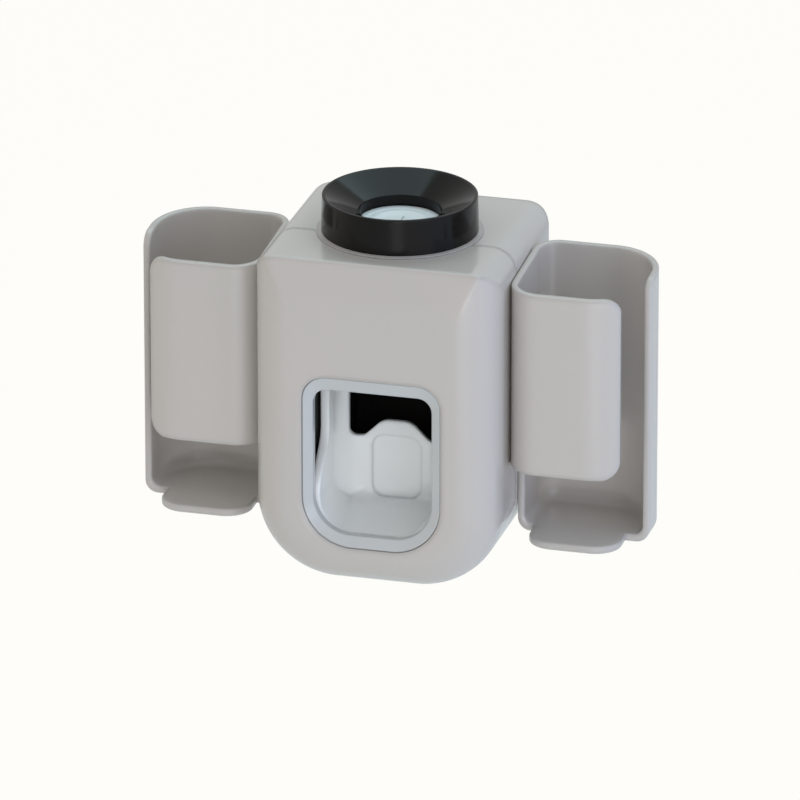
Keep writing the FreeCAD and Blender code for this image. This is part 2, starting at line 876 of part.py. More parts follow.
def biarc(first, first_way, last, last_way):
    """Two arcs that join two points and keep both end directions."""
    chord = last - first
    ways = first_way + last_way
    square = 2 * (1 - first_way.dot(last_way))
    straight = chord.dot(ways)
    root = math.sqrt(straight ** 2 + square * chord.dot(chord))
    reach = (root - straight) / square
    near = first + first_way * reach
    far = last - last_way * reach
    middle = (near + far) / 2
    return [arc_by_way(first, first_way, middle), arc_by_way(last, last_way * -1, middle)]


def arc_by_way(start, way, end):
    """Arc that leaves start in the direction way and reaches end."""
    chord = end - start
    across = (chord - way * chord.dot(way))
    normal = FreeCAD.Vector(across).normalize()
    radius = chord.dot(chord) / (2 * chord.dot(normal))
    centre = start + normal * radius
    middle_way = ((start - centre) + (end - centre)).normalize()
    return Part.Arc(start, centre + middle_way * radius, end)


def return_spring():
    """Compression spring inside the bellows: one unbroken wire in quarter turns."""
    start = fy(chamber_front) + spring_wire + spring_end_gap
    end = fy(bellows_rear) - spring_wire - spring_end_gap
    pitch = (end - start) / spring_turns
    rise = pitch / (2 * math.pi)
    slope = math.hypot(spring_radius, rise)

    def point(turn):
        x = spring_radius * math.cos(turn)
        z = hz(chamber_height) + spring_radius * math.sin(turn)
        return vec(x, start + rise * turn, z)

    def way(turn):
        return vec(-spring_radius * math.sin(turn), rise, spring_radius * math.cos(turn)) / slope

    edges = []
    for i in range(4 * spring_turns):
        a = math.pi / 2 * i
        b = a + math.pi / 2
        edges += [arc.toShape() for arc in biarc(point(a), way(a), point(b), way(b))]
    section = Part.Wire(Part.makeCircle(spring_wire, point(0), way(0)))
    pipe = Part.Wire(edges).makePipeShell([section], True, False)
    print("least gap between spring turns", round(pitch - 2 * spring_wire, 2))
    return pipe


def pivot_pin():
    """Steel pin of the lever, grooved at both ends for its clips."""
    y = fy(pivot_depth)
    z = hz(pivot_height)
    pin = along_x(y, z, -pin_half_length, pin_half_length, pin_radius)
    for side in (-1, 1):
        low = side * clip_place - clip_thickness / 2
        ring = along_x(y, z, low, low + clip_thickness, 2 * pin_radius)
        pin = pin.cut(ring.cut(along_x(y, z, low, low + clip_thickness, pin_radius - groove_fall)))
    return pin


def pin_clips():
    """Two open clips in the pin's grooves, outside the frame's cheeks."""
    y = fy(pivot_depth)
    z = hz(pivot_height)
    solids = []
    for side in (-1, 1):
        low = side * clip_place - clip_thickness / 2
        clip = along_x(y, z, low, low + clip_thickness, clip_radius)
        clip = clip.cut(along_x(y, z, low, low + clip_thickness, pin_radius - groove_fall))
        half = clip_mouth / 2
        mouth = box((low, low + clip_thickness), (y - half, y + half), (z - overrun, z))
        solids.append(clip.cut(mouth))
    return Part.makeCompound(solids)


def scoop_form(side, rear, floor, bottom_round, rear_round, heel):
    """Scoop's form as the common part of its front, plan and side outlines."""
    half = lever_half - side
    back = fy(paddle_depth - rear)
    front = fy(scoop_front + overrun)
    high = hz(pivot_height)
    low = hz(scoop_floor_front - floor)
    low_rear = hz(scoop_floor_rear - floor)
    fall = (low_rear - low) / (scoop_front - paddle_depth)
    low_far = low - overrun * fall
    seen = [(-half, low_far, bottom_round), (half, low_far, bottom_round), (half, high, 0), (-half, high, 0)]
    form = prism(seen, on_xz(front), vec(0, back - front, 0))
    plan = [(-half, front, 0), (half, front, 0), (half, back, rear_round), (-half, back, rear_round)]
    form = form.common(prism(plan, on_xy(low_far), vec(0, 0, high - low_far)))
    profile = [(back, high, 0), (front, high, 0), (front, low_far, 0), (back, low_rear, heel)]
    return form.common(prism(profile, on_yz(-half), vec(2 * half, 0, 0)))


def lever_top_cutter():
    """Space between the stems: U notches beside a low hump on the paddle's top edge."""
    notch = hz(notch_height)
    hump = hz(hump_height)
    top = hz(pivot_height + 2 * overrun)
    left = stem_inner
    corners = [
        (-left, notch, notch_radius),
        (-hump_foot, notch, notch_radius),
        (-hump_half, hump, hump_round),
        (hump_half, hump, hump_round),
        (hump_foot, notch, notch_radius),
        (left, notch, notch_radius),
        (left, top, 0),
        (-left, top, 0),
    ]
    return prism(corners, on_xz(fy(scoop_front)), vec(0, scoop_front - pivot_depth + hub_radius, 0))


def push_lever():
    """White lever: scoop with a pocket, two stems, hubs on the pivot and the arm behind the pump."""
    outer = scoop_form(0, paddle_wall, scoop_floor_wall, scoop_bottom_corner + lever_wall,
                       scoop_rear_corner + lever_wall, scoop_back_heel)
    inner = scoop_form(lever_wall, 0, 0, scoop_bottom_corner, scoop_rear_corner, scoop_heel)
    scoop = outer.cut(inner)
    side = [
        (fy(paddle_depth - paddle_wall - overrun), hz(0), 0),
        (fy(scoop_front), hz(0), 0),
        (fy(scoop_front), hz(scoop_side_low), scoop_rear_corner),
        (fy(scoop_side_top), hz(scoop_side_high), scoop_rear_corner),
        (fy(scoop_side_top), hz(pivot_height), 0),
        (fy(paddle_depth - paddle_wall - overrun), hz(pivot_height), 0),
    ]
    scoop = scoop.common(prism(side, on_yz(-lever_half), vec(2 * lever_half, 0, 0)))
    scoop = scoop.cut(lever_top_cutter())
    pocket_face = fy(paddle_depth - pocket_sink)
    pocket = prism(plate_corners(pocket_width / 2, hz(pocket_low), hz(pocket_high), pocket_corner),
                   on_xz(pocket_face), vec(0, -pocket_sink - overrun, 0))
    scoop = scoop.cut(pocket)
    return lever_arm(rounded(scoop, lever_edges(scoop), lever_edge))


def lever_edges(scoop):
    """Sharp edges of the pocket's rim, and those of the hump, notches and stems."""
    half = pocket_width / 2 + slip
    low = hz(pocket_low) - slip
    high = hz(pocket_high) + slip
    soft = hz(lever_soft_height)
    found = []
    for edge in sharp_edges(scoop):
        k = edge.BoundBox
        on_rim = k.XMin > -half and k.XMax < half and k.ZMin > low and k.ZMax < high
        if on_rim or k.ZMin > soft:
            found.append(edge)
    return found


def lever_arm(scoop):
    """Hubs and cheeks that carry the scoop on the pivot and reach behind the push cap."""
    y = fy(pivot_depth)
    z = hz(pivot_height)
    nose_depth = bellows_rear - cap_thickness - arm_rear_gap - arm_nose_radius
    nose_y = fy(nose_depth)
    nose_z = hz(arm_height)
    cheek = [
        (y + hub_radius, z - hub_radius, 0),
        (y - hub_radius - paddle_wall, z - hub_radius, 0),
        (y - hub_radius - paddle_wall, z, hub_radius),
        (y, z + hub_radius, hub_radius),
        (nose_y - arm_nose_radius, nose_z + arm_half, arm_nose_radius),
        (nose_y + arm_nose_radius, nose_z + arm_half, arm_nose_radius),
        (nose_y + arm_nose_radius, nose_z - arm_half, arm_nose_radius),
        (y + hub_radius, z - hub_radius / 2, hub_radius / 2),
    ]
    lever = scoop
    for low, hub_low, hub_high in (
        (-stem_inner - cheek_wall, -lever_half, -stem_inner),
        (stem_inner, stem_inner, lever_half),
    ):
        lever = lever.fuse(prism(cheek, on_yz(low), vec(cheek_wall, 0, 0)))
        lever = lever.fuse(along_x(y, z, hub_low, hub_high, hub_radius))
    reach = stem_inner + cheek_wall
    lever = lever.fuse(along_x(nose_y, nose_z, -reach, reach, arm_nose_radius))
    bore = along_x(y, z, -lever_half - overrun, lever_half + overrun, pin_radius + pin_gap)
    return lever.cut(bore).removeSplitter()


def holder_start():
    """X of the holder's inner side, beside the casing."""
    return body_width / 2 + face_gap


def holder_plan(inset):
    """Plan corners of a holder on the right, moved inwards by inset."""
    near = holder_start() + inset
    far = holder_start() + holder_width - inset
    back = fy(holder_back) - inset
    front = fy(holder_back + holder_depth) + inset
    return [
        (near, back, holder_inner_back_round - inset),
        (far, back, holder_outer_back_round - inset),
        (far, front, holder_outer_front_round - inset),
        (near, front, holder_inner_front_round - inset),
    ]


def rim_z(depth):
    """Z of the holder's rim, which falls a little towards the user."""
    share = (depth - holder_back) / holder_depth
    return hz(holder_rim_back + (holder_rim_front - holder_rim_back) * share)


def holder_mask():
    """Region that the holder's walls keep: they stop short of the side slot and the lower front."""
    middle = holder_start() + holder_width / 2
    back = fy(holder_back - overrun)
    edge_depth = holder_back + side_wall_depth
    front_depth = holder_back + holder_depth + overrun
    low = hz(holder_low) - overrun
    back_rim = rim_z(holder_back - overrun)
    inner = [
        (back, low, 0),
        (fy(edge_depth), low, 0),
        (fy(edge_depth), hz(panel_low), holder_heel),
        (fy(front_depth), hz(panel_low), 0),
        (fy(front_depth), rim_z(front_depth), 0),
        (back, back_rim, 0),
    ]
    outer = [
        (back, low, 0),
        (fy(edge_depth), low, 0),
        (fy(edge_depth), rim_z(edge_depth), side_wall_corner),
        (back, back_rim, 0),
    ]
    half = holder_width / 2 + overrun
    mask = prism(inner, on_yz(middle - half), vec(half, 0, 0))
    mask = mask.fuse(prism(outer, on_yz(middle), vec(half, 0, 0)))
    return mask.fuse(holder_panel_mask()).removeSplitter()


def holder_panel_mask():
    """Region of the front panel, seen from the front, with its free corners rounded."""
    near = holder_start()
    edge = near + holder_width - panel_edge_inset
    start = holder_back + side_wall_depth
    end = holder_back + holder_depth + overrun
    length = end - start
    fall = rim_z(end) - rim_z(start)
    low = hz(panel_low)
    top = rim_z(start)
    lower = [(near, low, 0), (edge, low, panel_corner), (edge, 2 * top, 0), (near, 2 * top, 0)]
    upper = [(near, 2 * low, 0), (edge, 2 * low, 0), (edge, top, panel_corner), (near, top, 0)]
    mask = prism(lower, on_xz(fy(start)), vec(0, -length, 0))
    return mask.common(prism(upper, on_xz(fy(start)), vec(0, -length, fall)))


def holder_floor_plan():
    """Plan corners of the floor's tongue, which stands out between the walls."""
    near = holder_start() + tongue_inner
    far = holder_start() + holder_width - tongue_outer
    back = fy(holder_back + side_wall_depth / 2)
    front = fy(holder_back + tongue_reach)
    return [(near, back, 0), (far, back, 0), (far, front, tongue_corner), (near, front, tongue_corner)]


def holder_cup():
    """Walls and floor of the holder before they are cut open: a moulded cup with soft corners."""
    low = hz(holder_low)
    height = hz(body_height) - low
    block = prism(holder_plan(0), on_xy(low), vec(0, 0, height))
    block = rounded(block, edges_at(block, lambda k: k.ZMax < low + face_gap), holder_foot_corner)
    floor = low + holder_floor
    hollow = prism(holder_plan(holder_wall), on_xy(floor), vec(0, 0, height))
    hollow = rounded(hollow, edges_at(hollow, lambda k: k.ZMax < floor + face_gap), holder_heel)
    return block.cut(hollow)


def holder():
    """Open toothbrush holder on the right: walls, front panel, floor with tongue and hooks."""
    low = hz(holder_low)
    walls = holder_cup().common(holder_mask())
    tongue = prism(holder_floor_plan(), on_xy(low), vec(0, 0, holder_floor))
    body = walls.fuse(tongue).removeSplitter()
    body = rounded(body, sharp_edges(body), holder_edge)
    for height in (hook_low, hook_high):
        body = body.fuse(hook(height))
    return body


def hook(height):
    """Headed hook on the holder's inner side that drops into a keyhole of the housing."""
    middle = fy(hook_depth)
    low = hz(height) - hook_height / 2
    root = holder_start() + holder_wall / 2
    inner = body_width / 2 - casing_wall - face_gap
    tip = inner - hook_head_thickness
    neck = box((tip, root), (middle - hook_neck_half, middle + hook_neck_half), (low, low + hook_height))
    head = box((tip, inner), (middle - hook_head_half, middle + hook_head_half), (low, low + hook_height))
    return neck.fuse(head)


def main():
    os.makedirs("parts", exist_ok=True)
    right = holder()
    nodes = {
        "adhesive_pad": adhesive_pad(),
        "wall_plate": wall_plate(),
        "rear_housing": rear_housing(),
        "collar": collar(),
        "collar_nut": collar_nut(),
        "tube_seal": tube_seal(),
        "inner_frame": inner_frame(),
        "frame_screws": frame_screws(),
        "pump_body": pump_body(),
        "pump_screws": pump_screws(),
        "inlet_valve": inlet_valve(),
        "outlet_nozzle": outlet_nozzle(),
        "outlet_valve": outlet_valve(),
        "bellows": bellows(),
        "bellows_cap": bellows_cap(),
        "return_spring": return_spring(),
        "pivot_pin": pivot_pin(),
        "pin_clips": pin_clips(),
        "push_lever": push_lever(),
        "funnel_ring": funnel_ring(),
        "front_cover": front_cover(),
        "window_frame": window_frame(),
        "right_holder": right,
        "left_holder": mirrored(right),
    }
    for name, shape in nodes.items():
        shape.exportStep("parts/" + name + ".step")
        print(name, shape.isValid(), len(shape.Solids), round(shape.Volume, 1))


main()
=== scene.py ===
import json
import math

import bmesh
import bpy
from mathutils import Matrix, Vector

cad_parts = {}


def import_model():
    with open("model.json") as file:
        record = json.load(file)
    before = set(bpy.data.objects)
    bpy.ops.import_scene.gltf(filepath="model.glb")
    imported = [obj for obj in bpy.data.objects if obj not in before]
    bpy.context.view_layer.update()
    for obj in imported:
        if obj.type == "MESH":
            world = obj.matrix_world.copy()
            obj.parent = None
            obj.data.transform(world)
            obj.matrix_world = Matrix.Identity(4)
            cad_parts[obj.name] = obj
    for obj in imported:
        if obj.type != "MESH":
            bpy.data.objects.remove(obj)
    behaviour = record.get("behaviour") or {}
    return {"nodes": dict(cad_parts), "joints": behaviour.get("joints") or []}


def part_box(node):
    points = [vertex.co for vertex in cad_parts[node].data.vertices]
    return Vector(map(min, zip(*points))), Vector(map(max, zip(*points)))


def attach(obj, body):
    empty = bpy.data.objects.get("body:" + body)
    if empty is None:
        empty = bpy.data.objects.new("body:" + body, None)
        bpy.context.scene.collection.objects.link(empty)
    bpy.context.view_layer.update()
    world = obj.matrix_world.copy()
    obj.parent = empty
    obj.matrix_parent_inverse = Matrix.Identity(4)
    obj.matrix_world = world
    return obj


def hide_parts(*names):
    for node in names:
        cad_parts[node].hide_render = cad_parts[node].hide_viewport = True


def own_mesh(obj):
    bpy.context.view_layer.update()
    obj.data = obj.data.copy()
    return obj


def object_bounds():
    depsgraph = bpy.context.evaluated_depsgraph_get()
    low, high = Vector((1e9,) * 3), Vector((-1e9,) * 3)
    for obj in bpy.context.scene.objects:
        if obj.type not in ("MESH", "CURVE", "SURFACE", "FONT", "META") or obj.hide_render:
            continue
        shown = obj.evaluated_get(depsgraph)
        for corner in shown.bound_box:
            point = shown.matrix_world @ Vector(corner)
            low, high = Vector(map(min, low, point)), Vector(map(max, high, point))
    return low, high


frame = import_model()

# Wall mounted toothpaste dispenser: finishes, soft pieces, camera and studio.
# Lengths are in metres, in the frame's own axes: x to the right, -y to the front, z up.

cad_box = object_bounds()
nodes = frame["nodes"]
mm = 0.001
photo_width, photo_scale = 800, 3.70  # pixels, and pixels for each millimetre
ground_white = (1.0, 0.991, 0.956)
target = Vector((0, -32.5, -3.5)) * mm  # where camera and lamps look


class Value:
    """Shader socket that adds Math nodes where Python arithmetic uses it."""

    def __init__(self, finish, socket):
        self.finish = finish
        self.socket = socket

    def combine(self, operation, first, second):
        return self.finish.add("ShaderNodeMath", {"operation": operation}, {0: first, 1: second})

    def __add__(self, other):
        return self.combine("ADD", self, other)

    def __radd__(self, other):
        return self.combine("ADD", other, self)

    def __rsub__(self, other):
        return self.combine("SUBTRACT", other, self)

    def __mul__(self, other):
        return self.combine("MULTIPLY", self, other)

    def output(self, name):
        return Value(self.finish, self.socket.node.outputs[name])


class Finish:
    """One material with its node tree and shader."""

    def __init__(self, name, color, roughness, **constants):
        self.material = bpy.data.materials.new(name)
        self.material.use_nodes = True
        self.tree = self.material.node_tree
        self.shader = self.tree.nodes["Principled BSDF"]
        self.shader.inputs["Base Color"].default_value = (*color, 1)
        self.shader.inputs["Roughness"].default_value = roughness
        for key, value in constants.items():
            self.shader.inputs[key.replace("_", " ")].default_value = value
        self.place = self.add("ShaderNodeTexCoord").output("Object")

    def add(self, kind, settings=None, sockets=None):
        """Adds a node: its settings first, then its sockets' values or links."""
        node = self.tree.nodes.new(kind)
        for key, value in (settings or {}).items():
            setattr(node, key, value)
        for key, value in (sockets or {}).items():
            self.feed(node.inputs[key], value)
        return Value(self, node.outputs[0])

    def feed(self, socket, value):
        """Links a Value to the socket, or sets the socket to a plain number or colour."""
        if isinstance(value, Value):
            self.tree.links.new(value.socket, socket)
        elif hasattr(value, "__len__") and len(value) == 3 and socket.type == "RGBA":
            socket.default_value = (*value, 1)
        else:
            socket.default_value = value

    def noise(self, size, detail=3.0, roughness=0.5):
        """Noise from 0 to 1 with features of the given size in metres."""
        sockets = {"Vector": self.place, "Scale": 1 / size, "Detail": detail, "Roughness": roughness}
        return self.add("ShaderNodeTexNoise", {}, sockets)

    def ramp(self, value, low, high):
        """Grey that rises from 0 at low to 1 at high."""
        grey = self.add("ShaderNodeValToRGB", {}, {"Fac": value})
        first, last = grey.socket.node.color_ramp.elements
        first.position, first.color = low, (0, 0, 0, 1)
        last.position, last.color = high, (1, 1, 1, 1)
        return grey

    def blend(self, share, first, second):
        """Colour between first and second by share."""
        node = self.add("ShaderNodeMix", {"data_type": "RGBA"}).socket.node
        self.feed(node.inputs[0], share)
        self.feed(node.inputs[6], first)
        self.feed(node.inputs[7], second)
        return Value(self, node.outputs[2])

    def edge(self, width, low=0.02, high=0.25):
        """Mask that is 1 on edges and 0 on flat faces."""
        soft = self.add("ShaderNodeBevel", {"samples": 4}, {"Radius": width})
        hard = self.add("ShaderNodeNewGeometry").output("Normal")
        product = self.add("ShaderNodeVectorMath", {"operation": "DOT_PRODUCT"}, {0: soft, 1: hard})
        return self.ramp(1.0 - product.output("Value"), low, high)

    def surface(self, color, roughness, height, depth=0.02 * mm, strength=0.3, soft=0.0):
        """Feeds the shader's colour and roughness, and its normal: a bump by height over edges rounded by soft."""
        self.feed(self.shader.inputs["Base Color"], color)
        self.feed(self.shader.inputs["Roughness"], roughness)
        bump = self.add("ShaderNodeBump", {}, {"Height": height, "Strength": strength, "Distance": depth})
        if soft:
            rounding = self.add("ShaderNodeBevel", {"samples": 6}, {"Radius": soft})
            self.feed(bump.socket.node.inputs["Normal"], rounding)
        self.feed(self.shader.inputs["Normal"], bump)
        return self.material


def shade(red, green, blue):
    """Linear colour of an sRGB value from 0 to 255."""
    return tuple(c / 3294.6 if c <= 10 else ((c / 255 + 0.055) / 1.055) ** 2.4 for c in (red, green, blue))


def casing_plastic():
    """Satin moulded plastic in a light warm grey, for casing, collar and holders."""
    finish = Finish("casing plastic", shade(190, 185, 181), 0.25, IOR=1.5, Coat_Weight=0.6, Coat_Roughness=0.1)
    cloud = finish.noise(28 * mm, 2.0)
    grain = finish.noise(0.35 * mm, 2.0)
    flow = finish.noise(9 * mm, 2.0)
    color = finish.blend(cloud, shade(192, 185, 180), shade(188, 184, 180))
    # Edges blend toward a lighter grey: a painted highlight on rims, creases and ridges.
    painted_edge_highlight = finish.edge(0.6 * mm, 0.006, 0.12)
    color = finish.blend(painted_edge_highlight * 0.45, color, shade(222, 224, 227))
    return finish.surface(color, 0.22 + flow * 0.06, grain * 0.5 + flow * 0.1, strength=0.1, soft=2.6 * mm)


def window_plastic():
    """Slightly smoother grey plastic of the window's bevelled ring."""
    finish = Finish("window frame plastic", shade(188, 190, 191), 0.24, IOR=1.5, Coat_Weight=0.4,
                    Coat_Roughness=0.1)
    cloud = finish.noise(9 * mm, 2.0)
    grain = finish.noise(0.3 * mm, 2.0)
    # Edges blend toward a lighter grey: a painted highlight on the ring's rims.
    painted_edge_highlight = finish.edge(0.4 * mm)
    color = finish.blend(cloud, shade(190, 192, 191), shade(186, 189, 192))
    color = finish.blend(painted_edge_highlight * 0.5, color, shade(224, 226, 227))
    return finish.surface(color, 0.2 + cloud * 0.08, grain, strength=0.1, soft=0.5 * mm)


def ring_plastic():
    """Glossy black plastic of the tube funnel, with fine handling marks."""
    finish = Finish("funnel black plastic", (0.007, 0.006, 0.005), 0.13, IOR=1.5, Specular_IOR_Level=0.17)
    marks = finish.noise(1.4 * mm, 5.0, 0.7)
    cloud = finish.noise(14 * mm, 2.0)
    # Edges blend toward a lighter black: a painted highlight on the rims.
    painted_edge_highlight = finish.edge(0.4 * mm)
    color = finish.blend(cloud, (0.006, 0.005, 0.004), (0.009, 0.008, 0.008))
    color = finish.blend(painted_edge_highlight * 0.5, color, (0.02, 0.02, 0.021))
    return finish.surface(color, 0.1 + marks * 0.08, marks * 0.5 + cloud, depth=0.03 * mm, strength=0.2,
                          soft=0.5 * mm)


def lever_plastic():
    """Glossy white plastic of the push lever."""
    finish = Finish("lever white plastic", shade(241, 243, 244), 0.2, IOR=1.5, Coat_Weight=0.6, Coat_Roughness=0.08)
    cloud = finish.noise(12 * mm, 2.0)
    flow = finish.noise(3 * mm, 3.0)
    # Edges blend toward a brighter white: a painted highlight on the rims.
    painted_edge_highlight = finish.edge(0.5 * mm)
    color = finish.blend(cloud, shade(240, 243, 244), shade(243, 244, 243))
    color = finish.blend(painted_edge_highlight * 0.6, color, shade(250, 251, 251))
    return finish.surface(color, 0.16 + flow * 0.1, flow + cloud, depth=0.05 * mm, strength=0.2, soft=1.5 * mm)


def pump_plastic():
    """Matt white plastic of the pump's inner pieces."""
    finish = Finish("pump white plastic", shade(222, 221, 217), 0.42, IOR=1.5)
    cloud = finish.noise(8 * mm, 2.0)
    grain = finish.noise(0.3 * mm, 2.0)
    # Edges blend toward a lighter white: a painted highlight on the rims.
    painted_edge_highlight = finish.edge(0.4 * mm)
    color = finish.blend(cloud, shade(223, 222, 217), shade(216, 217, 215))
    color = finish.blend(painted_edge_highlight * 0.4, color, shade(236, 236, 233))
    return finish.surface(color, 0.38 + cloud * 0.12, grain)


def frame_plastic():
    """Dark matt plastic of the inner frame."""
    finish = Finish("inner frame dark plastic", shade(52, 51, 48), 0.5, IOR=1.5)
    cloud = finish.noise(10 * mm, 3.0)
    grain = finish.noise(0.25 * mm, 2.0)
    # Edges blend toward a lighter grey: a painted highlight on the rims.
    painted_edge_highlight = finish.edge(0.4 * mm)
    color = finish.blend(cloud, shade(50, 49, 46), shade(56, 56, 54))
    color = finish.blend(painted_edge_highlight * 0.5, color, shade(80, 80, 78))
    return finish.surface(color, 0.45 + cloud * 0.15, grain, strength=0.5)


def silicone():
    """Milky white silicone of the seal, valves and bellows."""
    finish = Finish("white silicone", shade(214, 224, 227), 0.38, IOR=1.41, Subsurface_Weight=0.2,
                    Subsurface_Scale=0.0012, Subsurface_Radius=(1.0, 0.8, 0.7))
    cloud = finish.noise(5 * mm, 3.0)
    dust = finish.noise(0.4 * mm, 4.0, 0.7)
    color = finish.blend(cloud, shade(212, 223, 227), shade(218, 226, 229))
    return finish.surface(color, 0.3 + cloud * 0.14, dust, strength=0.2)


def fastener_steel():
    """Bright steel of the pin, screws, clips and spring."""
    finish = Finish("fastener steel", (0.56, 0.56, 0.57), 0.28, Metallic=1.0)
    lines = finish.noise(0.3 * mm, 4.0, 0.7)
    cloud = finish.noise(4 * mm, 3.0)
    color = finish.blend(cloud, (0.60, 0.60, 0.61), (0.48, 0.48, 0.50))
    return finish.surface(color, 0.2 + lines * 0.2, lines, depth=0.01 * mm)


def adhesive():
    """Pale double-sided tape with a fine weave."""
    finish = Finish("adhesive tape", shade(214, 216, 212), 0.6, IOR=1.47)
    weave = finish.noise(0.6 * mm, 3.0, 0.6)
    cloud = finish.noise(11 * mm, 3.0)
    color = finish.blend(cloud, shade(218, 219, 214), shade(203, 206, 204))
    return finish.surface(color, 0.5 + cloud * 0.2, weave, strength=0.5)


casing = casing_plastic()
pump_white = pump_plastic()
soft_white = silicone()
fastener = fastener_steel()

finishes = {
    "rear_housing": casing,
    "front_cover": casing,
    "collar": casing,
    "right_holder": casing,
    "left_holder": casing,
    "window_frame": window_plastic(),
    "funnel_ring": ring_plastic(),
    "push_lever": lever_plastic(),
    "inner_frame": frame_plastic(),
    "wall_plate": pump_white,
    "collar_nut": pump_white,
    "pump_body": pump_white,
    "outlet_nozzle": pump_white,
    "bellows_cap": pump_white,
    "pivot_pin": fastener,
    "pin_clips": fastener,
    "frame_screws": fastener,
    "pump_screws": fastener,
    "adhesive_pad": adhesive(),
}
for name, finish in finishes.items():
    for slot in nodes[name].material_slots:
        slot.material = finish


def soft_piece(node, points, faces, finish):
    """Smooth mesh that stands for a soft or wound CAD solid and rides on the housing."""
    crease = math.radians(50)
    mesh = bpy.data.meshes.new(node + "_soft")
    mesh.from_pydata(points, [], faces)
    shape = bmesh.new()
    shape.from_mesh(mesh)
    bmesh.ops.recalc_face_normals(shape, faces=shape.faces)
    shape.to_mesh(mesh)
    shape.free()
    mesh.polygons.foreach_set("use_smooth", [True] * len(mesh.polygons))
    mesh.set_sharp_from_angle(angle=crease)
    mesh.materials.append(finish)
    piece = bpy.data.objects.new(node + "_soft", mesh)
    bpy.context.scene.collection.objects.link(piece)
    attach(piece, "housing")
    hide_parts(node)
    return piece


def grid_faces(rows, columns, closed_rows):
    """Quads between neighbouring rows of points, each row a closed loop."""
    faces = []
    for i in range(rows if closed_rows else rows - 1):
        here, there = i * columns, (i + 1) % rows * columns
        for k in range(columns):
            after = (k + 1) % columns
            faces.append((here + k, here + after, there + after, there + k))
    return faces


def crumple(piece, node):
    """Works out the share of a piece that stays between its fixed end and the push cap at the pump's full stroke,
    and gives the piece a mesh of its own; the shape is left as it is.
    """
    stroke = next(joint for joint in frame["joints"] if joint["name"] == "pump_stroke")
    fixed = next(part["fixed_end_y_m"] for part in stroke["deforming_nodes"] if part["node"] == node)
    cap_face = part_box("bellows")[1].y
    keep = 1 - stroke["range_m"][1] / (cap_face - fixed)
    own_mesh(piece)


def bellows():
    """Silicone bellows with three round folds and a collar at each end."""
    low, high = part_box("bellows")
    middle = (low.z + high.z) / 2
    peak = (high.z - low.z) / 2
    fold_depth, wall, collar = 1.5 * mm, 0.7 * mm, 1.0 * mm
    folds, steps, around = 3, 16, 96
    valley = peak - fold_depth
    band = valley + wall / 4
    length = high.y - low.y - 2 * collar
    outside = [(valley, low.y), (band, low.y + collar / 3), (band, low.y + 2 * collar / 3)]
    for i in range(folds * steps + 1):
        swell = (1 - math.cos(2 * math.pi * i / steps)) / 2
        outside.append((valley + fold_depth * swell, low.y + collar + length * i / (folds * steps)))
    outside += [(band, high.y - 2 * collar / 3), (band, high.y - collar / 3), (valley, high.y)]
    inside = [(radius - wall, y) for radius, y in reversed(outside)]
    profile = outside + inside
    turns = [2 * math.pi * k / around for k in range(around)]
    points = [(r * math.cos(a), y, middle + r * math.sin(a)) for r, y in profile for a in turns]
    piece = soft_piece("bellows", points, grid_faces(len(profile), around, True), soft_white)
    crumple(piece, "bellows")


def return_spring():
    """Round wire spring whose end turns lie closer together."""
    low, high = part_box("return_spring")
    wire = 0.35 * mm
    turns, steps, around = 6, 48, 12
    radius = (high.z - low.z) / 2 - wire
    middle = Vector((0, 0, (low.z + high.z) / 2))
    start, length = low.y + wire, high.y - low.y - 2 * wire
    line = []
    for i in range(turns * steps + 1):
        share = i / (turns * steps)
        eased = share - math.sin(2 * math.pi * share) / (4 * math.pi)
        angle = 2 * math.pi * turns * share
        outward = Vector((math.cos(angle), 0, math.sin(angle)))
        line.append((middle + outward * radius + Vector((0, start + length * eased, 0)), outward))
    points = []
    for i, (centre, outward) in enumerate(line):
        ahead = line[min(i + 1, len(line) - 1)][0] - line[max(i - 1, 0)][0]
        across = ahead.normalized().cross(outward)
        for k in range(around):
            angle = 2 * math.pi * k / around
            points.append(centre + (outward * math.cos(angle) + across * math.sin(angle)) * wire)
    faces = grid_faces(len(line), around, False)
    faces += [tuple(range(around)), tuple(range(len(points) - around, len(points)))]
    crumple(soft_piece("return_spring", points, faces, fastener), "return_spring")


def slit_disc(node, radii, angles, top, bottom, present, capped):
    """Silicone disc of polar cells: a cell that isn't present is a cut through it.

    A capped disc has no hole in its middle. The functions top and bottom give heights over the node's lowest point.
    """
    low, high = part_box(node)
    middle = (low + high) / 2
    rows, columns = len(radii), len(angles(radii[0]))
    points = []
    for level in (top, bottom):
        for i, radius in enumerate(radii):
            for k, angle in enumerate(angles(radius)):
                x, y = radius * math.cos(angle), radius * math.sin(angle)
                points.append((middle.x + x, middle.y + y, low.z + level(radius, k)))
    under = rows * columns

    def there(i, k):
        return 0 <= i < rows - 1 and present(i, k % columns)

    faces = []
    for i in range(rows - 1):
        for k in range(columns):
            if not there(i, k):
                continue
            after = (k + 1) % columns
            corners = [i * columns + k, i * columns + after, (i + 1) * columns + after, (i + 1) * columns + k]
            faces += [tuple(corners), tuple(c + under for c in reversed(corners))]
            beside = [there(i - 1, k) or (capped and i == 0), there(i, k + 1), there(i + 1, k), there(i, k - 1)]
            for side, joined in enumerate(beside):
                a, b = corners[side], corners[(side + 1) % 4]
                if not joined:
                    faces.append((b, a, a + under, b + under))
    if capped:
        faces += [tuple(range(columns)), tuple(range(under, under + columns))]
    soft_piece(node, points, faces, soft_white)


